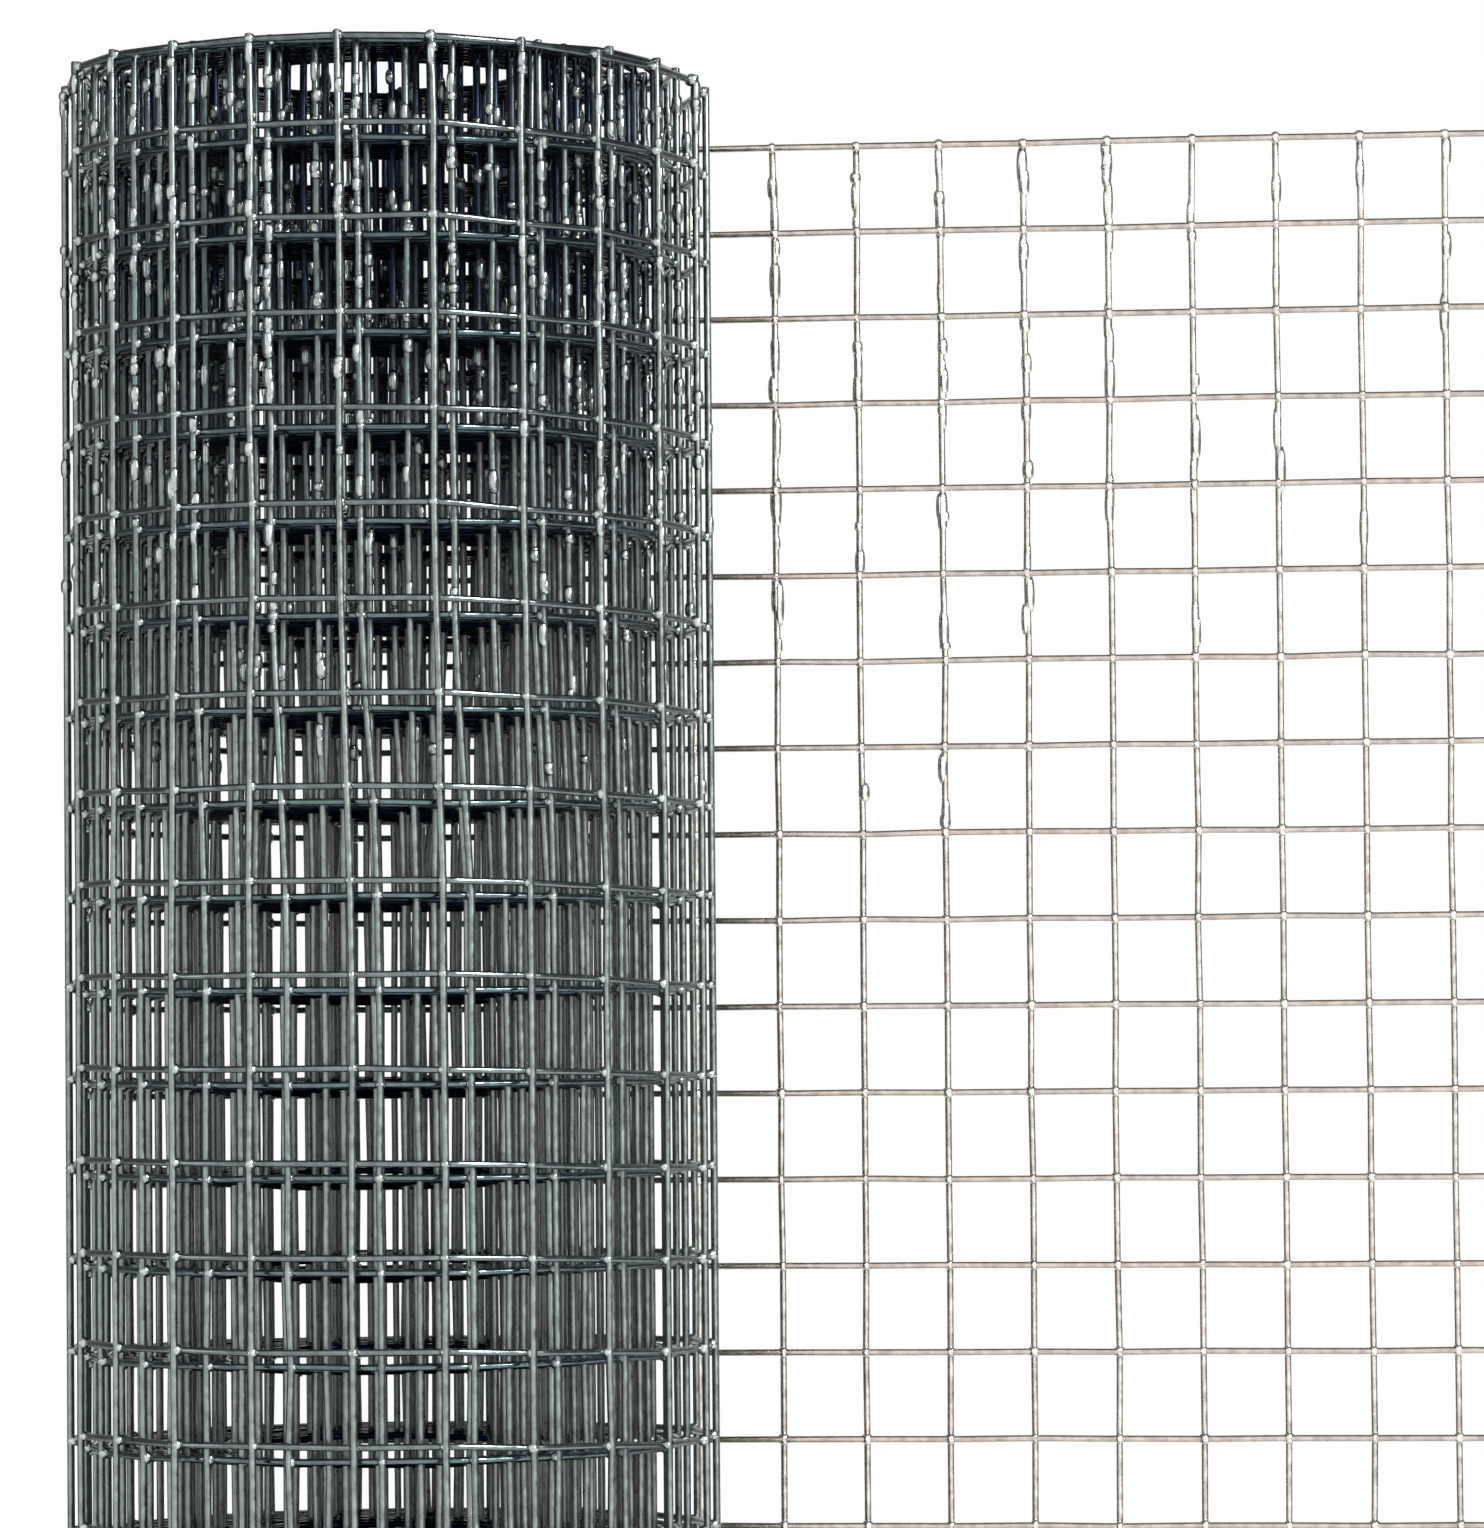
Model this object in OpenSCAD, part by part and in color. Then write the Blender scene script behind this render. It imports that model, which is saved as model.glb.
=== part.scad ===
// Roll of welded square mesh for sieves and guards, standing on its end.
//
// One sheet of galvanised welded mesh is wound round an open core, and its
// loose end stands out straight from the back of the roll. The line wires run
// along the sheet, so they lie level when the roll stands. The cross wires
// run across the sheet's width and stand upright, outside the line wires.
//
// Millimetres, Z up along the roll. The origin is on the roll's axis at the
// level of its lowest laps. The sheet leaves the roll at x = 0 on the +Y side
// and runs along +X.
//
// The wound part is one turned solid with its bore. Each lap shows on both
// end faces as a ring with a groove beside it, a little higher or lower than
// its neighbours, because the laps slip along each other as they are wound.
// The loose end is a flat sheet of bars, fused wherever they cross.

/* [Mesh] */
// Distance between line wires, up the height of the roll
line_pitch = 12.7; // [6:0.05:50]
// Distance between cross wires, along the sheet
cross_pitch = 12.35; // [6:0.05:50]
// Diameter of a wire with its zinc
wire_d = 1.05; // [0.6:0.05:3]
// Depth that two crossing wires are pressed into each other by the weld
weld_sink = 0.2; // [0.1:0.05:0.5]
// Number of openings across the width of the sheet
openings_wide = 39; // [4:1:120]
// Length that the cut wire ends stand past the last wire that they cross
cut_past = 0.2; // [0.1:0.05:6]

/* [Roll] */
// Diameter over the outermost lap
roll_d = 92.4; // [60:1:400]
// Clear diameter of the open core
core_d = 40; // [20:1:80]
// Clearance that the winding leaves between two laps
lap_gap = 0.25; // [0:0.05:5]
// Height that the highest lap stands above the lowest
lap_slip = 5.2; // [0.5:0.1:12]
// Height of each lap in turn as a share of the slip, from the outside in
lap_steps = [1, 0.55, 0, 0.3, 0.15, 0.35, 0.1, 0.25, 0.4, 0.2, 0.3, 0];
// Width of the groove between two laps on the end faces
groove_w = 0.6; // [0.3:0.1:1]
// Depth of the groove between two laps on the end faces
groove_depth = 1.5; // [0.5:0.1:10]

/* [Loose end] */
// Number of whole openings along the loose end
tail_openings = 13; // [1:1:40]
// Bare length of the line wires between the roll and the first cross wire
tail_start = 1.1; // [0.6:0.1:50]
// Height of the loose end's lower edge above the lowest lap
tail_lift = 0; // [0:0.1:12]

/* [Hidden] */

zinc_light = [0.70, 0.71, 0.71];
zinc_dark = [0.52, 0.54, 0.56];
roll_sides = 180;
bar_sides = 6;
past = 1; // how far a cutting shape runs past what it cuts

roll_r = roll_d / 2;
core_r = core_d / 2;
cut_end = wire_d / 2 + cut_past;
sheet_w = openings_wide * line_pitch + 2 * cut_end;
sheet_t = 2 * wire_d - weld_sink;

// the laps share out the wall between the core and the outside evenly
laps = max(2, round((roll_r - core_r) / (sheet_t + lap_gap)));
lap_w = (roll_r - core_r) / laps;

// depths of the two layers of wire in the sheet, measured from the roll's axis
cross_y = roll_r - wire_d / 2;
line_y = cross_y - wire_d + weld_sink;

// where the line wires come clear of the roll's round surface
clear_x = sqrt(roll_r ^ 2 - (line_y - wire_d / 2) ^ 2);

line_wires = openings_wide + 1;
cross_wires = tail_openings + 1;
lines_below = floor(line_wires / 2);

function lap_inner_r(lap) = roll_r - (lap + 1) * lap_w;
function lap_rise(lap) = lap_slip * lap_steps[lap % len(lap_steps)];
function line_z(i) = tail_lift + cut_end + i * line_pitch;
function cross_x(i) = clear_x + tail_start + i * cross_pitch;

tail_end = cross_x(tail_openings) + cut_end;
tail_split = line_z(lines_below) - line_pitch / 2;

// ---------- wound part ----------

// The steps that the ends of the laps make, from the outside in
function lap_stairs(base) = [
    for (lap = [0 : laps - 1])
        each [
            [lap_inner_r(lap) + lap_w, base + lap_rise(lap)],
            [lap_inner_r(lap), base + lap_rise(lap)]
        ]
];

// The same points in the opposite order
function backwards(points) = [for (i = [len(points) - 1 : -1 : 0]) points[i]];

// Half section through the laps, before the grooves are cut
module lap_section() {
    polygon(concat(lap_stairs(0), backwards(lap_stairs(sheet_w))));
}

// Grooves beside the laps, cut into the lower and the upper end
module lap_grooves() {
    for (lap = [1 : laps - 1]) {
        groove_x = lap_inner_r(lap - 1) - groove_w / 2;
        foot = max(lap_rise(lap - 1), lap_rise(lap)) + groove_depth;
        head = min(lap_rise(lap - 1), lap_rise(lap)) + sheet_w - groove_depth;
        translate([groove_x, -past])
            square([groove_w, foot + past]);
        translate([groove_x, head])
            square([groove_w, sheet_w + lap_slip + past - head]);
    }
}

module mesh_roll() {
    color(zinc_dark)
        rotate_extrude($fn = roll_sides)
            difference() {
                lap_section();
                lap_grooves();
            }
}

// ---------- loose end ----------

// A wire of the given length that runs along X
module level_bar(length) {
    rotate([0, 90, 0])
        cylinder(h = length, d = wire_d, $fn = bar_sides);
}

// A band of the loose end: line wires first to last, cross wires z0 to z1
module tail_band(first, last, z0, z1) {
    difference() {
        union() {
            for (i = [first : last])
                translate([0, line_y, line_z(i)])
                    level_bar(tail_end);
            for (i = [0 : cross_wires - 1])
                translate([cross_x(i), cross_y, z0])
                    cylinder(h = z1 - z0, d = wire_d, $fn = bar_sides);
        }
        // the wires end where they run into the roll
        translate([0, 0, z0 - past])
            cylinder(h = z1 - z0 + 2 * past, r = roll_r, $fn = roll_sides);
    }
}

module tail_lower() {
    color(zinc_light)
        tail_band(0, lines_below - 1, tail_lift, tail_split);
}

module tail_upper() {
    color(zinc_light)
        tail_band(lines_below, line_wires - 1, tail_split, tail_lift + sheet_w);
}

mesh_roll();
tail_lower();
tail_upper();
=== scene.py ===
# %% [markdown]
# # A roll of galvanised welded mesh
#
# The real thing is one sheet of mesh. Level *line wires* run along it, and upright *cross wires* lie
# outside them, welded wherever two wires meet. The sheet was dipped in molten zinc after welding, wound
# up round nothing and stood on its end. A loose end sticks out at the back.
#
# The frame holds the roll as a plain turned solid and the loose end as bars. A pattern of mesh painted on
# that solid would look dead, because light goes right through a real roll. So the same sheet is made here
# wire by wire, in the space that the frame gives it.

# %% Load the frame
import math

import bmesh
import bpy
import numpy as np
from mathutils import Euler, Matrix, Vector


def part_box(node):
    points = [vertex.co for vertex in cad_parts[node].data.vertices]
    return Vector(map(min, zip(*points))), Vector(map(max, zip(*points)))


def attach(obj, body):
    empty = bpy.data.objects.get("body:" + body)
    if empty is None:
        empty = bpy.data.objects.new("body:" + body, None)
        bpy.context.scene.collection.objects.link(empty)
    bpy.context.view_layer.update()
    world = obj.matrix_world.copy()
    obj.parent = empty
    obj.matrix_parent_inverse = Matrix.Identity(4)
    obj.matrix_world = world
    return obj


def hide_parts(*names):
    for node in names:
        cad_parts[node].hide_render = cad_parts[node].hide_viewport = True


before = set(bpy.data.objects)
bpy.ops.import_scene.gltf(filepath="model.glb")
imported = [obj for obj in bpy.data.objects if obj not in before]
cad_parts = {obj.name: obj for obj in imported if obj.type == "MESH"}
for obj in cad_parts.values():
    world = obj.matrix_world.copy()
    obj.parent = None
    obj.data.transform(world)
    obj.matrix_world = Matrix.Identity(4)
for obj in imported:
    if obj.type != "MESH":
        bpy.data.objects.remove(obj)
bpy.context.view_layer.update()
scene = bpy.context.scene
scene.view_settings.view_transform = "Standard"

# %% [markdown]
# ## The sizes of the sheet
# A point of the sheet is given in millimetres by three numbers: how far along the sheet it lies, how high
# up its width, and how deep through its thickness. The sizes that the frame knows are read from its
# boxes, so that the wires fit the solids. The rest are the wire with its zinc, 1.05 mm, and the openings,
# half an inch.

# %% Sizes of the sheet
MM = 0.001
WIRE_R = 0.525
LINE_PITCH = 12.7  # from one line wire to the next
WELD_SINK = 0.2  # how deep the two wires of a crossing sink into each other
CUT_END = 0.725  # from the middle of the last wire crossed to a wire's cut end
ROWS = 40  # line wires

roll_low, roll_high = (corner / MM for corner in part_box("mesh_roll"))
roll_r = (roll_high.y - roll_low.y) / 2
tail_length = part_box("tail_lower")[1].x / MM
sheet_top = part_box("tail_upper")[1].z / MM
lap_slip = roll_high.z - sheet_top
line_r = roll_r - 3 * WIRE_R + WELD_SINK
cross_out = 2 * WIRE_R - WELD_SINK
print(f"roll {2 * roll_r:.1f} mm across, sheet {sheet_top:.1f} mm wide, laps slip {lap_slip:.1f} mm")

# %% [markdown]
# ## The path of the sheet
# A sheet wound on itself follows a spiral. Its radius falls by one lap's thickness each turn, so the
# length wound up to an angle is a square law, and the law can be turned round to find the angle at any
# length. A spiral drawn by its angle would be simpler, but its wires would crowd towards the core, and
# on the real sheet they keep their spacing.

# %% The spiral
TURN = 2 * math.pi
LAP_PITCH = 2.194
LAPS = 11.06


def angle_at(u):
    """Angle in radians that the sheet has turned through at each length u along the roll."""
    inside = line_r**2 - LAP_PITCH * np.maximum(u, 0) / math.pi
    return (line_r - np.sqrt(inside)) * TURN / LAP_PITCH


def length_at(laps):
    """Length of sheet wound up in a number of laps, counted from the outside."""
    angle = laps * TURN
    return line_r * angle - LAP_PITCH * angle**2 / (4 * math.pi)


core_end = length_at(LAPS)
print(f"{core_end / 1000:.2f} m of sheet is wound in {LAPS} laps")

# %% [markdown]
# The laps don't lie level with each other: each slips up or down along its neighbour as the sheet is
# wound. The outermost lap's slip is a short list of (turns, share of the slip), with a smooth step from
# each to the next. The laps inside it stand 2.35 mm up at the back, and at the front a little higher,
# or a little lower near the core. A height of its own for each lap would be simpler, but it would leave
# steps where one lap ends and the next begins.

# %% The slip of the laps
OUTER_SLIP = [(0, 0), (0.2, 0.08), (0.32, 1), (0.52, 0.99), (0.75, 0.64), (1, 0.46)]
BACK_SLIP, FRONT_LIFT, LIFT_LOST = 2.35, 1.0, 0.19


def share(value, start, stop):
    """How far a value has gone from start to stop, held between 0 and 1."""
    return np.clip((value - start) / (stop - start), 0, 1)


def ease(t):
    """The same share with a soft start and a soft stop."""
    return t * t * (3 - 2 * t)


def slip(angle):
    """Height of the sheet's lower edge above the floor, in mm."""
    turns = angle / TURN
    outer = np.zeros_like(turns)
    for (start, low), (stop, high) in zip(OUTER_SLIP, OUTER_SLIP[1:]):
        outer += (high - low) * ease(share(turns, start, stop))
    front = (1 - np.cos(angle)) / 2
    inner = BACK_SLIP + (FRONT_LIFT - LIFT_LOST * turns) * front
    return np.where(turns < 1, outer * lap_slip, inner)


for lap in (0.5, 1.5, 10.5):
    print(f"the front of lap {lap + 0.5:.0f} stands {float(slip(np.array(lap * TURN))):.1f} mm up")

# %% [markdown]
# With the winding and the slip, any point of the flat sheet has its place in the roll. The inner laps
# also sit a little off centre, and the outermost one springs out by 2 mm where nothing holds it. The
# function takes whole arrays, so that a wire's points are worked out in one go.

# %% Points on the sheet
CORE_DRIFT = (-0.85, -2.15)
LOOSE_TURNS, LOOSE_MM = (0.6, 1.0), 2.0


def on_sheet(u, z, out):
    """Points of the sheet in mm: u along it (negative on the loose end), z up it, out through it."""
    u, z, out = np.broadcast_arrays(np.asarray(u, float), z, out)
    angle = angle_at(u)
    sprung = LOOSE_MM * np.sin(math.pi * share(angle / TURN, *LOOSE_TURNS)) ** 2
    radius = line_r - LAP_PITCH * angle / TURN + out + sprung
    drift = angle / (TURN * LAPS)
    x = -radius * np.sin(angle) + CORE_DRIFT[0] * drift + np.maximum(-u, 0)
    y = radius * np.cos(angle) + CORE_DRIFT[1] * drift
    return np.stack([x, y, z + slip(angle)], -1)


def outward(u):
    """The direction through the sheet, away from the roll's axis, at each length u."""
    angle = angle_at(np.asarray(u, float))
    return np.stack([-np.sin(angle), np.cos(angle), np.zeros_like(angle)], -1)


for place in (-tail_length, 0, core_end):
    print(f"{place:8.1f} mm along the sheet is at", on_sheet(place, 0, 0).round(1))

# %% [markdown]
# ## Where the wires cross
# The cross wires' places along the sheet come first. The loose end has the spacing of the frame's bars,
# the roll has its own, and eight openings at the back of the roll join the two. On the left of the
# front, the outermost lap's wires lie 1.7 mm nearer the loose end than an even winding puts them, as if
# the sheet had been pulled by it. One even spacing would do for most rolls. Here the light that comes
# through shows where the laps' wires stand, so each part has its own.

# %% Places of the cross wires
TAIL_PITCH, ROLL_PITCH = 12.35, 12.331
TAIL_CELLS, BACK_CELLS = 13, 8
WOUND_FROM = 91.335  # where the roll's own spacing begins
LEFT_MM, LEFT_TURNS = -1.7, (0.46, 0.5)  # how far the left's wires are pulled, and where that ends

tail_u = -(tail_length - CUT_END - TAIL_PITCH * np.arange(TAIL_CELLS + 1))
roll_u = np.arange(WOUND_FROM, core_end, ROLL_PITCH)
roll_turns = angle_at(roll_u) / TURN
leaning = share(roll_turns, *LEFT_TURNS)
roll_u += LEFT_MM * (1 - leaning)
back_u = np.linspace(tail_u[-1], roll_u[0], BACK_CELLS + 1)[1:-1]
cross_u = np.concatenate([tail_u, back_u, roll_u])
line_z = CUT_END + LINE_PITCH * np.arange(ROWS)
cols = len(cross_u)
print(f"{cols} cross wires and {ROWS} line wires cross {cols * ROWS} times")

# %% [markdown]
# Welding and winding leave no crossing exactly in its place. Every crossing gets a small error of its
# own, less on the flat loose end, and both of its wires pass through it, so that they look drawn and
# bent, not ruled. Errors for the wires instead would let a pair part where it should be welded. The
# lowest row keeps its height, because the roll stands on it.

# %% Small errors of each crossing
WANDER_MM, SETTLE_MM = 0.10, 0.08
FLAT_WANDER, FLAT_SETTLE = 0.7, 0.5  # the loose end's share of them
tail_cols = slice(0, TAIL_CELLS + 1)

rng = np.random.default_rng(12)
wander = rng.normal(0, WANDER_MM, (cols, ROWS))
settle = rng.normal(0, SETTLE_MM, (cols, ROWS))
wander[tail_cols] *= FLAT_WANDER
settle[tail_cols] *= FLAT_SETTLE
settle[:, 0] = 0
print(f"crossings stray by {wander.std():.2f} mm along the sheet and {settle.std():.2f} mm up it")

# %% [markdown]
# ## How the top edge was pulled about
# A roll is lifted and handled by its top edge, so the upright wires lean there, each lap another way.
# The lean is smooth random noise along the sheet: neighbours lean alike and the laps don't, which closes
# most of the gaps that light would come through. It begins ten rows below the edge and is full at six.
# The outermost lap leans less, and in the middle of the front it leans the way that its left was pulled.
# One lean for the whole sheet would be simpler, but it would leave each lap's gaps in line with the next.

# %% The lean of the upright wires
LEAN_MM, LEAN_ROWS, LEAN_SEED = 1.4, (29.5, 33.5), 2612
NEIGHBOURS = 13  # cross wires under the bell curve that smooths the noise
STEADY_COLS, STEADY = slice(TAIL_CELLS + 1, 40), 0.4  # the outermost lap and its share of the lean
RIGHT_TURN = 0.7  # where the outermost lap's own lean ends

rows = np.arange(ROWS)
near_top = ease(share(rows, *LEAN_ROWS))
bell = np.exp(-np.linspace(-3, 3, NEIGHBOURS) ** 2 / 2)
noise = np.random.default_rng(LEAN_SEED).normal(0, 1, cols + NEIGHBOURS - 1)
lean = np.convolve(noise, bell, "valid")
lean *= LEAN_MM / lean.std()
lean[tail_cols] = 0
lean[STEADY_COLS] *= STEADY
lean[-len(roll_u):] += LEFT_MM * leaning * (1 - share(roll_turns, LEFT_TURNS[1], RIGHT_TURN))
cross_grid_u = cross_u[:, None] + wander + lean[:, None] * near_top
print(f"the upright wires lean by up to {np.abs(lean).max():.1f} mm at the top edge")

# %% [markdown]
# The top edges of the inner laps were knocked nearly level with the outermost one. The last four rows
# are drawn up to meet the edge, most at the top, where a real sheet would slip as a whole. On the
# outermost lap the rows just under its edge crowd up by a millimetre.

# %% The rows near the top edge
RIM_FRONT, RIM_BACK = 4.9, 5.8  # how far the inner laps' edges stand above the loose end's
RIM_ROWS, RIM_POWER = 4, 1.3
CROWD_MM, CROWD_ROWS = 1.0, (33, 37)
OUTER_FROM, INNER_FROM = (0, 0.2), (1, 1.25)  # turns over which the two changes set in

angle = angle_at(cross_u)
turns = angle / TURN
outer = share(turns, *OUTER_FROM)
inner = share(turns, *INNER_FROM)
rim = RIM_FRONT + (RIM_BACK - RIM_FRONT) * (1 + np.cos(angle)) / 2
to_rim = share(rows, ROWS - 1 - RIM_ROWS, ROWS - 1) ** RIM_POWER
crowd = share(rows, *CROWD_ROWS) * (rows < ROWS - 1)
drawn_up = (inner * (rim - slip(angle)))[:, None] * to_rim
drawn_up += (CROWD_MM * outer * (1 - inner))[:, None] * crowd
cross_grid_z = line_z + settle + drawn_up
print(f"the inner laps' top edges are drawn up by up to {drawn_up.max():.1f} mm")

# %% [markdown]
# ## Tubes and meshes
# A wire is a tube: a ring of points at each place along it. Curves with a round bevel would do it too,
# but 238 of them, with thousands of bends, would be slow to turn into meshes. So the rings are worked
# out with arrays. Six sides, shaded smooth, are enough for a wire of 1 mm.

# %% A tube
TUBE_SIDES = 6


def tube(points, side, up, radius):
    """Vertices and faces of a closed tube through points. side and up span each of its rings."""
    count = len(points)
    turn = np.arange(TUBE_SIDES) * TURN / TUBE_SIDES
    ring = np.cos(turn)[None, :, None] * side[:, None, :] + np.sin(turn)[None, :, None] * up[:, None, :]
    verts = (points[:, None, :] + ring * np.asarray(radius).reshape(-1, 1, 1)).reshape(-1, 3)
    starts = np.arange(count - 1)[:, None] * TUBE_SIDES
    here = starts + np.arange(TUBE_SIDES)[None, :]
    after = starts + (np.arange(TUBE_SIDES)[None, :] + 1) % TUBE_SIDES
    walls = np.stack([here, after, after + TUBE_SIDES, here + TUBE_SIDES], -1).reshape(-1, 4)
    low = list(range(TUBE_SIDES - 1, -1, -1))
    high = list(range((count - 1) * TUBE_SIDES, count * TUBE_SIDES))
    return verts, walls, [low, high]


flat_r = WIRE_R * math.cos(math.pi / TUBE_SIDES)
print(f"a wire is {2 * WIRE_R:.2f} mm over its corners and {2 * flat_r:.2f} mm over its flats")

# %% [markdown]
# Many tubes are joined into one object, because thousands of objects would slow every later step. Each
# object rides on the one body, root, and takes the finish that it is given.

# %% One object from many parts
def mesh_piece(name, parts, material):
    """One object from many (vertices in mm, quads or triangles, cap polygons)."""
    verts, faces, caps, base = [], [], [], 0
    for part_verts, part_faces, part_caps in parts:
        verts.append(part_verts)
        faces.append(part_faces + base)
        caps += [[i + base for i in cap] for cap in part_caps]
        base += len(part_verts)
    verts = np.concatenate(verts) * MM
    faces = np.concatenate(faces)
    corners = np.concatenate([faces.ravel(), np.array(sum(caps, []), int)])
    sizes = np.array([faces.shape[1]] * len(faces) + [len(cap) for cap in caps])
    mesh = bpy.data.meshes.new(name)
    mesh.vertices.add(len(verts))
    mesh.vertices.foreach_set("co", verts.astype(np.float32).ravel())
    mesh.loops.add(len(corners))
    mesh.loops.foreach_set("vertex_index", corners.astype(np.int32))
    mesh.polygons.add(len(sizes))
    mesh.polygons.foreach_set("loop_start", (np.cumsum(sizes) - sizes).astype(np.int32))
    mesh.update(calc_edges=True)
    mesh.polygons.foreach_set("use_smooth", np.ones(len(sizes), bool))
    mesh.validate()
    mesh.materials.append(material)
    piece = bpy.data.objects.new(name, mesh)
    scene.collection.objects.link(piece)
    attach(piece, "root")
    print(f"{name}: {int((sizes - 2).sum())} triangles")
    return piece


# %% [markdown]
# ## The zinc
# Hot-dip galvanised steel wire. The dipping leaves a thin coat of zinc, which freezes with a dull and
# slightly mottled shine. It is bare metal, so the eye reads it from what it mirrors, and its own colour
# is only a pale grey. A texture wrapped round the wires would need seams and an unwrap, so the colours
# come from noise in space. Two helpers come first: one turns a hex colour into Blender's numbers, and
# one adds a node with all its settings and links.

# %% Colours and nodes
def rgb(hex_code):
    """A colour written as sRGB hex, as the linear numbers that Blender's sockets take."""
    parts = [int(hex_code[i:i + 2], 16) / 255 for i in (1, 3, 5)]
    return [c / 12.92 if c <= 0.04045 else ((c + 0.055) / 1.055) ** 2.4 for c in parts] + [1]


def add(tree, kind, settings=None, stops=(), **links):
    """Adds a node. settings maps names of properties or sockets to values, links sockets to outputs.

    stops are the (place, hex colour) pairs of a colour ramp.
    """
    node = tree.nodes.new(kind)
    for key, value in (settings or {}).items():
        if key in node.inputs:
            node.inputs[key].default_value = value
        else:
            setattr(node, key, value)
    for key, output in links.items():
        socket = next(s for s in node.inputs if s.name.replace(" ", "_") == key and not s.is_linked)
        tree.links.new(output, socket)
    if stops:
        # a ramp starts with two elements, and a new one may go anywhere, since all are placed below
        elements = node.color_ramp.elements
        while len(elements) < len(stops):
            elements.new(0.5)
        for element, (place, hex_code) in zip(elements, stops):
            element.position, element.color = place, rgb(hex_code)
    return node


print("mid grey #808080 is", round(rgb("#808080")[0], 3), "in linear light")

# %% [markdown]
# The metal keeps Blender's default IOR, and its roughness starts from the 0.3 of fresh zinc. The mottle
# is noise of 1.6 mm, coarser than the real thing on so thin a wire, so that it shows. It changes the
# grey, the roughness and the bump together, as thick and thin zinc do.
#
# Deep in the roll, wires mirror only other wires, which mirror dark ones again. In a bright studio, and
# with few bounces of light, that darkness has to be helped. So shade is painted into the zinc's colour:
# ramps over the distance from the axis darken it in the roll, one for the body of the roll and a darker
# one for its top edge, and the height above the floor mixes the two.

# %% The zinc material
MOTTLE_MM, MOTTLE_GREYS, MOTTLE_ROUGH = 1.6, (0.35, 0.65), (0.3, 0.7)
BUMP_STRENGTH = 0.5
REACH_MM = 70  # the distance from the axis at the end of the ramps
# between these heights the top edge's darker painted shade takes over
EDGE_FROM, EDGE_TO = 0.395, 0.47  # heights in metres between which the edge's tints take over


def zinc(name, greys, reach, body_tints, edge_painted_shade, roughness, bump_mm):
    """Zinc mottled between two greys, with shade painted in. Each shade colour holds at its reach, a
    distance from the axis in mm.
    """
    material = bpy.data.materials.new(name)
    material.use_nodes = True
    tree = material.node_tree
    tree.nodes.clear()
    place = add(tree, "ShaderNodeTexCoord").outputs["Object"]
    mottle = add(tree, "ShaderNodeTexNoise", {"Scale": 1 / (MOTTLE_MM * MM), "Detail": 3.0},
                 Vector=place).outputs["Fac"]
    unshaded_grey = add(tree, "ShaderNodeValToRGB", stops=list(zip(MOTTLE_GREYS, greys)), Fac=mottle)

    split = add(tree, "ShaderNodeSeparateXYZ", Vector=place)
    level = add(tree, "ShaderNodeCombineXYZ", X=split.outputs["X"], Y=split.outputs["Y"])
    from_axis = add(tree, "ShaderNodeVectorMath", {"operation": "LENGTH"}, Vector=level.outputs["Vector"])
    reached = add(tree, "ShaderNodeMapRange", {"From Max": REACH_MM * MM},
                  Value=from_axis.outputs["Value"]).outputs["Result"]
    places = [mm / REACH_MM for mm in reach]
    # painted shade: two ramps of colour over the distance from the axis, one for the body of the roll and
    # one for its top edge
    body = add(tree, "ShaderNodeValToRGB", stops=list(zip(places, body_tints)), Fac=reached)
    edge = add(tree, "ShaderNodeValToRGB", stops=list(zip(places, edge_painted_shade)), Fac=reached)
    height = add(tree, "ShaderNodeMapRange", {"From Min": EDGE_FROM, "From Max": EDGE_TO},
                 Value=split.outputs["Z"])
    # the height mixes the two ramps of painted shade, and the result multiplies the zinc's grey
    painted_shade = add(tree, "ShaderNodeMixRGB", Fac=height.outputs["Result"],
               Color1=body.outputs["Color"], Color2=edge.outputs["Color"])
    colour = add(tree, "ShaderNodeMixRGB", {"blend_type": "MULTIPLY", "Fac": 1.0},
                 Color1=unshaded_grey.outputs["Color"], Color2=painted_shade.outputs["Color"])

    rough = add(tree, "ShaderNodeMapRange",
                {"From Min": MOTTLE_ROUGH[0], "From Max": MOTTLE_ROUGH[1],
                 "To Min": roughness[0], "To Max": roughness[1]}, Value=mottle)
    bump = add(tree, "ShaderNodeBump", {"Strength": BUMP_STRENGTH, "Distance": bump_mm * MM}, Height=mottle)
    metal = add(tree, "ShaderNodeBsdfPrincipled", {"Metallic": 1.0}, Base_Color=colour.outputs["Color"],
                Roughness=rough.outputs["Result"], Normal=bump.outputs["Normal"])
    add(tree, "ShaderNodeOutputMaterial", Surface=metal.outputs["BSDF"])
    print(f"{name}: {len(tree.nodes)} nodes, roughness {roughness[0]} to {roughness[1]}")
    return material


print(f"the mottle is {MOTTLE_MM} mm, on a wire of {2 * WIRE_R:.2f} mm")

# %% [markdown]
# One function gives three finishes of the same zinc. They differ in how thick it lies, and so in how
# bright and how smooth it is, and each has its own painted shade.

# %% The three finishes
# drawn wire under thin zinc: smooth, so the level wires glint in long sharp lines
line_zinc = zinc("galvanised_line_wire", greys=("#A69D96", "#C4BBB3"), reach=(37, 42, 60),
                 # painted shade: dark navy deep in the roll, darker at its top edge, teal grey on the outer
                 # laps, none far out on the loose end
                 body_tints=("#16284A", "#84A2AE", "#FFFFFF"),
                 edge_painted_shade=("#0A1222", "#6A8694", "#FFFFFF"),
                 roughness=(0.1, 0.2), bump_mm=0.06)
# cut lengths with a thicker, duller coat: broad soft highlights down the upright wires
cross_zinc = zinc("galvanised_cross_wire", greys=("#AAA49D", "#CEC8C0"), reach=(34, 44, 60),
                  # painted shade: blue-grey in the roll, dark blue deep in its top edge, none far out on
                  # the loose end
                  body_tints=("#BCCAD0", "#A2B8BE", "#FFFFFF"),
                  edge_painted_shade=("#2E3A52", "#96AAB0", "#FFFFFF"),
                  roughness=(0.24, 0.4), bump_mm=0.12)
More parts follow.
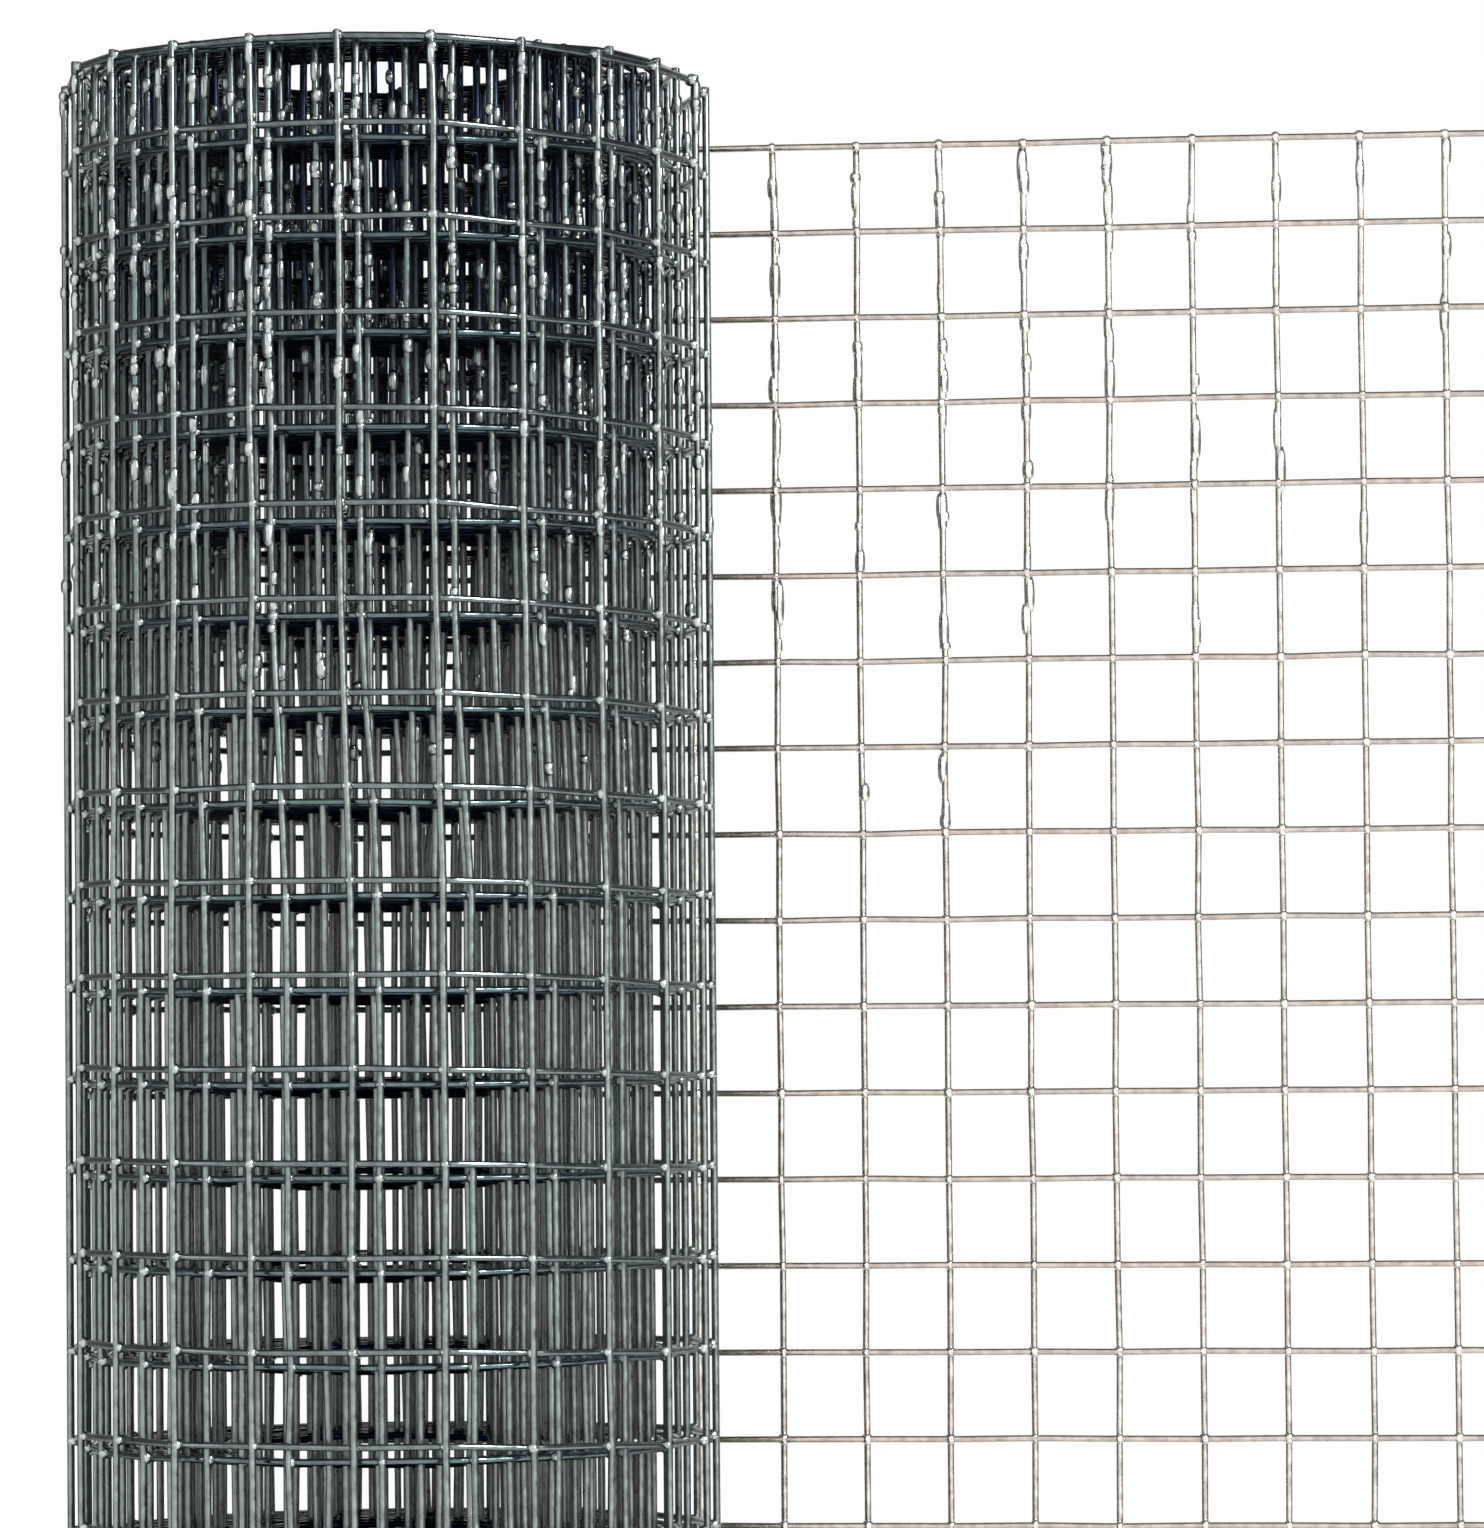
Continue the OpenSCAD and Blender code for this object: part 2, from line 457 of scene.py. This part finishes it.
# thick zinc that ran and froze in drops: the brightest and cleanest of the three
bright_zinc = zinc("zinc_runs", greys=("#C8C9C6", "#E8E8E2"), reach=(32, 45, 60),
                   # painted shade: a little greyer in the roll, more so at its top edge, none far out on
                   # the loose end
                   body_tints=("#B8C0C4", "#C8D2D6", "#FFFFFF"),
                   edge_painted_shade=("#98A2A8", "#C0CACE", "#FFFFFF"),
                   roughness=(0.14, 0.28), bump_mm=0.1)

# %% [markdown]
# ## The line wires
# Each runs the whole length of the sheet without a joint. Between two cross wires it stays straight, and
# it bends at the welds, where the winding put its force. So each opening has rings close to its welds
# and none between. Where the wires show, on the loose end and the outer laps, each weld has two more
# rings half a millimetre further away. They keep the smooth shading from spreading the bend over the
# whole span, so that the flat span glints from end to end. The ends get a smaller last ring, as a
# snipped wire has a rounded lip. Ten wires make one object, which keeps each to a fair size.

# %% The line wires
BEND, FLAT = 1.5, 2.0  # from a weld to the rings where the wire has bent, and where it is flat
SHOWN_COLS = 60  # cross wires from the loose end's edge to the end of the second lap
SNIP, SNIP_R = 0.15, 0.7  # length of the rounded lip, and its share of the radius
WIRES_EACH = 10
UP = np.array([0.0, 0.0, 1.0])


def line_wire(row):
    """One wire along the whole sheet, through its crossings."""
    at, level = cross_grid_u[:, row], cross_grid_z[:, row]
    shown, hidden = at[1:SHOWN_COLS], at[SHOWN_COLS:-1]
    u = np.concatenate([at[0] - CUT_END + np.array([0, SNIP, CUT_END + BEND]),
                        (shown[:, None] + np.array([-FLAT, -BEND, BEND, FLAT])).ravel(),
                        (hidden[:, None] + np.array([-BEND, BEND])).ravel(),
                        at[-1] + CUT_END - np.array([CUT_END + BEND, SNIP, 0])])
    z = np.concatenate([np.repeat(level[0], 3), np.repeat(level[1:SHOWN_COLS], 4),
                        np.repeat(level[SHOWN_COLS:-1], 2), np.repeat(level[-1], 3)])
    radius = np.full(len(u), WIRE_R)
    radius[[0, -1]] *= SNIP_R
    points = on_sheet(u, z, 0)
    return tube(points, outward(u), np.broadcast_to(UP, points.shape), radius)


for first in range(0, ROWS, WIRES_EACH):
    wires = [line_wire(row) for row in range(first, first + WIRES_EACH)]
    mesh_piece(f"line_wires_{first + 1}_to_{first + WIRES_EACH}", wires, line_zinc)

# %% [markdown]
# ## The cross wires
# They were cut to the sheet's width before they were welded on, so they run straight from weld to weld
# and end just past the outermost line wires. They lie outside the line wires, sunk into them a little
# at the welds. They make three objects: the loose end, the outer laps and the inner ones.

# %% The cross wires
OUTER_COLS = 100  # cross wires of the loose end and the outer laps


def cross_wire(col):
    """One upright wire from the sheet's lower edge to its upper edge."""
    z = cross_grid_z[col]
    u = cross_grid_u[col]
    foot = np.array([z[0] - CUT_END, z[0] - CUT_END + SNIP])
    head = np.array([z[-1] + CUT_END - SNIP, z[-1] + CUT_END])
    z = np.concatenate([foot, z[1:-1], head])
    u = np.concatenate([[u[0], u[0]], u[1:-1], [u[-1], u[-1]]])
    radius = np.full(len(u), WIRE_R)
    radius[[0, -1]] *= SNIP_R
    points = on_sheet(u, z, cross_out)
    side = outward(u)
    return tube(points, side, np.cross(UP, side), radius)


groups = {"loose_end": range(0, TAIL_CELLS + 1),
          "outer_laps": range(TAIL_CELLS + 1, OUTER_COLS),
          "inner_laps": range(OUTER_COLS, cols)}
for name, columns in groups.items():
    mesh_piece(f"cross_wires_{name}", [cross_wire(col) for col in columns], cross_zinc)

# %% [markdown]
# ## The welds
# Where two wires cross, the weld sinks one into the other and the zinc fills the corners, so each
# crossing shows as a small bright bead. A bead is a ball squashed to the joint's shape, a little
# different each time. Real fillets would mean joining thousands of pairs of wires and rounding them.
# The beads on the outside have a rounder ball and brighter zinc than the many inside, which show only
# as specks. None goes below the floor.

# %% The welds
# half of a bead's size in mm along the sheet, through it and up it, and how much that varies
BEAD, BEAD_VARIES = (0.84, 0.98, 0.84), (0.85, 1.15)
# where its middle lies between the line wire, 0, and the cross wire, 1
BEAD_OUT = 0.4
BRIGHT_COLS = 50  # cross wires with the rounder, brighter beads


def ball(detail):
    """A unit icosphere as vertices and triangles."""
    shape = bmesh.new()
    bmesh.ops.create_icosphere(shape, subdivisions=detail, radius=1)
    verts = np.array([v.co for v in shape.verts])
    faces = np.array([[v.index for v in f.verts] for f in shape.faces])
    shape.free()
    return verts, faces


def weld_beads(columns, detail):
    """A bead on every crossing of the given cross wires."""
    verts, faces = ball(detail)
    parts = []
    for col in columns:
        u, z = cross_grid_u[col], cross_grid_z[col]
        centre = on_sheet(u, z, cross_out * BEAD_OUT)
        side = outward(u)
        axes = np.stack([np.cross(UP, side), side, np.broadcast_to(UP, side.shape)], 1)
        size = rng.uniform(*BEAD_VARIES, (ROWS, 3)) * BEAD
        points = (centre[:, None, :] + verts @ (size[:, :, None] * axes)).reshape(-1, 3)
        points[:, 2] = np.maximum(points[:, 2], 0)
        shifted = (faces[None] + np.arange(ROWS)[:, None, None] * len(verts)).reshape(-1, 3)
        parts.append((points, shifted, []))
    return parts


mesh_piece("welds_outer", weld_beads(range(0, BRIGHT_COLS), detail=2), bright_zinc)
mesh_piece("welds_inner", weld_beads(range(BRIGHT_COLS, cols), detail=1), cross_zinc)

# %% [markdown]
# ## The zinc runs
# The sheet drained with this edge down, and the last of the zinc froze in drops on the cross wires near
# the edge, long ones on the loose end and short ones elsewhere. Each run is a short tube that swells and
# narrows. Bumps from a texture would be cheaper, but they wouldn't change the wire's outline, which is
# where the drops show. Some wires caught far more zinc than their neighbours, so each wire draws its
# own share first, and then the number of runs in each opening.

# %% The zinc runs
# how many runs a wire has in each opening on average, from the top one down
RUNS_PER_CELL = [1.9, 1.8, 1.6, 1.3, 1.0, 0.6, 0.3, 0.15]
CAUGHT_SHAPE, CAUGHT_SCALE = 2.5, 0.45
# the length and width in mm of the smallest run, and of the largest one in each place
SHORTEST, NARROWEST = 1.3, 1.2
LARGEST = {"loose_end": (7, 1.95), "outer_laps": (3.6, 1.75), "inner_laps": (3.6, 1.75)}
RUN_RINGS, RUN_END_R = 7, WIRE_R * 0.8
RUN_FROM, RUN_TO = 1, 12  # where a run's middle may be, from the opening's lower wire
RUN_OUT, RUN_ASIDE = 0.08, 0.15


def zinc_run(col, z_mid, length, width, aside):
    """One run on a cross wire, thickest at its middle."""
    t = np.linspace(-1, 1, RUN_RINGS)
    z = z_mid + t * length / 2
    u = np.interp(z, cross_grid_z[col], cross_grid_u[col]) + aside
    radius = RUN_END_R + (width / 2 - RUN_END_R) * np.sqrt(np.clip(1 - t * t, 0, 1))
    points = on_sheet(u, z, cross_out + RUN_OUT)
    side = outward(u)
    return tube(points, side, np.cross(UP, side), radius)


def runs_on(columns, longest, widest):
    """All the runs on some cross wires. There are more of them towards the top edge."""
    runs = []
    for col in columns:
        caught = rng.gamma(CAUGHT_SHAPE, CAUGHT_SCALE)
        for below_top, rate in enumerate(RUNS_PER_CELL):
            for _ in range(rng.poisson(rate * caught)):
                z_mid = line_z[ROWS - 2 - below_top] + rng.uniform(RUN_FROM, RUN_TO)
                length = rng.uniform(SHORTEST, longest)
                width = rng.uniform(NARROWEST, widest)
                runs.append(zinc_run(col, z_mid, length, width, rng.normal(0, RUN_ASIDE)))
    return runs


for name, columns in groups.items():
    mesh_piece(f"zinc_runs_{name}", runs_on(columns, *LARGEST[name]), bright_zinc)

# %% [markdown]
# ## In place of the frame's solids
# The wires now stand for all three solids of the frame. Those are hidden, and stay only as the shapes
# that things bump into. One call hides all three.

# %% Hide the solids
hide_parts("mesh_roll", "tail_lower", "tail_upper")

# %% [markdown]
# ## The camera
# It stands a little to the right of the front, below the roll's top edge, and looks slightly up, so
# that the edge curves and the near and the far laps' level wires come apart. It turns about its own
# lens by a small tilt last, which is why its direction is made of two turns, one after the other.

# %% The camera
CAMERA_TURN, CAMERA_AWAY, BELOW_TOP = math.radians(8.7), 0.925, 123.0
LOOK_TURN, LOOK_UP, TILT = math.radians(5.594), math.radians(1.894), math.radians(-0.47)

lens = bpy.data.cameras.new("camera")
lens.lens = 153.9
lens.sensor_width = 36
camera = bpy.data.objects.new("camera", lens)
scene.collection.objects.link(camera)
camera_z = (sheet_top - CUT_END - BELOW_TOP) * MM
camera.location = (CAMERA_AWAY * math.sin(CAMERA_TURN), -CAMERA_AWAY * math.cos(CAMERA_TURN), camera_z)
camera.rotation_mode = "QUATERNION"
look = Euler((math.pi / 2 + LOOK_UP, 0, LOOK_TURN)).to_quaternion()
camera.rotation_quaternion = look @ Euler((0, 0, TILT)).to_quaternion()
scene.camera = camera
print(f"camera {CAMERA_AWAY} m from the axis and {camera_z:.3f} m up, lens {lens.lens:.1f} mm")

# %% [markdown]
# ## Floor, light and surroundings
# The floor is white paper, matt, so that it takes the roll's shadow and mirrors nothing. A round of it,
# 2.8 m across, is enough. A wider one would show from the side as a grey band behind the roll, where
# the lamps don't reach.

# %% The floor
FLOOR_R, FLOOR_SIDES = 1.4, 96

corners = [TURN * i / FLOOR_SIDES for i in range(FLOOR_SIDES)]
floor_mesh = bpy.data.meshes.new("floor")
floor_mesh.from_pydata([(FLOOR_R * math.cos(a), FLOOR_R * math.sin(a), 0) for a in corners], [],
                       [list(range(FLOOR_SIDES))])
floor = bpy.data.objects.new("floor", floor_mesh)
scene.collection.objects.link(floor)
# uncoated white paper: its fibres scatter the light evenly, so it has a colour and no shine
paper = bpy.data.materials.new("white_paper")
paper.use_nodes = True
tree = paper.node_tree
tree.nodes.clear()
matt = add(tree, "ShaderNodeBsdfDiffuse", {"Color": rgb("#F2F2F0")})
add(tree, "ShaderNodeOutputMaterial", Surface=matt.outputs["BSDF"])
floor_mesh.materials.append(paper)
print(f"floor {2 * FLOOR_R} m across")

# %% [markdown]
# Bare metal shows what is around it, so the surroundings are part of the finish. The world is plain
# white where the camera looks straight at it, and so is its part behind the roll when it is mirrored
# or seen through glass. The rest is dim behind and brighter in front, as in a studio where the light
# comes from the camera's side. A picture of a room would do it too, but it would be one more file.

# %% The world
BEHIND, IN_FRONT = (0.75, 0.95), (-0.1, -0.95)
DIM, LIT = 0.25, 1.7

world = bpy.data.worlds.new("studio")
world.use_nodes = True
scene.world = world
tree = world.node_tree
tree.nodes.clear()
ray = add(tree, "ShaderNodeLightPath").outputs
way = add(tree, "ShaderNodeTexCoord")
away = add(tree, "ShaderNodeSeparateXYZ", Vector=way.outputs["Generated"]).outputs["Y"]
behind = add(tree, "ShaderNodeMapRange", {"From Min": BEHIND[0], "From Max": BEHIND[1]}, Value=away)
mirrored = add(tree, "ShaderNodeMath", {"operation": "MAXIMUM"}, Value=ray["Is Glossy Ray"])
tree.links.new(ray["Is Transmission Ray"], mirrored.inputs[1])
backdrop = add(tree, "ShaderNodeMath", {"operation": "MULTIPLY"}, Value=mirrored.outputs["Value"])
tree.links.new(behind.outputs["Result"], backdrop.inputs[1])
white = add(tree, "ShaderNodeMath", {"operation": "MAXIMUM"}, Value=ray["Is Camera Ray"])
tree.links.new(backdrop.outputs["Value"], white.inputs[1])
front = add(tree, "ShaderNodeMapRange",
            {"From Min": IN_FRONT[0], "From Max": IN_FRONT[1], "To Min": DIM, "To Max": LIT,
             "interpolation_type": "SMOOTHSTEP"}, Value=away)
room = add(tree, "ShaderNodeBackground", {"Color": rgb("#F4F2F0")}, Strength=front.outputs["Result"])
plain = add(tree, "ShaderNodeBackground", {"Color": rgb("#FFFFFF"), "Strength": 1.0})
mixed = add(tree, "ShaderNodeMixShader", Fac=white.outputs["Value"])
tree.links.new(room.outputs["Background"], mixed.inputs[1])
tree.links.new(plain.outputs["Background"], mixed.inputs[2])
add(tree, "ShaderNodeOutputWorld", Surface=mixed.outputs["Shader"])
print(f"world from {DIM} behind the roll to {LIT} in front of it")

# %% [markdown]
# Two tall narrow lamps stand side by side in front at the right. A level wire is a thin tube that
# mirrors each lamp as a line, and a lamp that leans a little keeps that line on the wire for the whole
# of a flat span. One broad soft lamp would give even grey wires without a glint. A weak soft lamp at
# the left lifts the dark side.

# %% The lamps
LOOK_AT = 0.35


def lamp(name, turn, height, away, width, tall, glow, lean=0):
    """A flat lamp that looks at the roll, turn degrees to the right of the camera.

    glow is how bright the lamp itself looks, where 1 is white, and lean tips it by so many degrees.
    """
    data = bpy.data.lights.new(name, "AREA")
    data.shape = "RECTANGLE"
    data.size, data.size_y, data.energy = width, tall, glow * math.pi * width * tall
    light = bpy.data.objects.new(name, data)
    scene.collection.objects.link(light)
    side = CAMERA_TURN + math.radians(turn)
    light.location = (away * math.sin(side), -away * math.cos(side), height)
    light.rotation_mode = "QUATERNION"
    aim = (Vector((0, 0, LOOK_AT)) - light.location).to_track_quat("-Z", "Y")
    light.rotation_quaternion = aim @ Euler((0, 0, -math.radians(lean))).to_quaternion()
    print(f"{name}: {data.energy:.2f} W from {away} m")


lamp("key", turn=37.5, height=1.2, away=1.45, width=0.12, tall=0.9, glow=85, lean=10)
lamp("second_key", turn=52.4, height=1.2, away=1.45, width=0.12, tall=0.9, glow=50, lean=15)
lamp("side", turn=-75, height=0.45, away=1.6, width=0.5, tall=1.0, glow=1.8)

# %% [markdown]
# ## The last update
# The view layer is updated once more, so that every object's place is up to date.

bpy.context.view_layer.update()
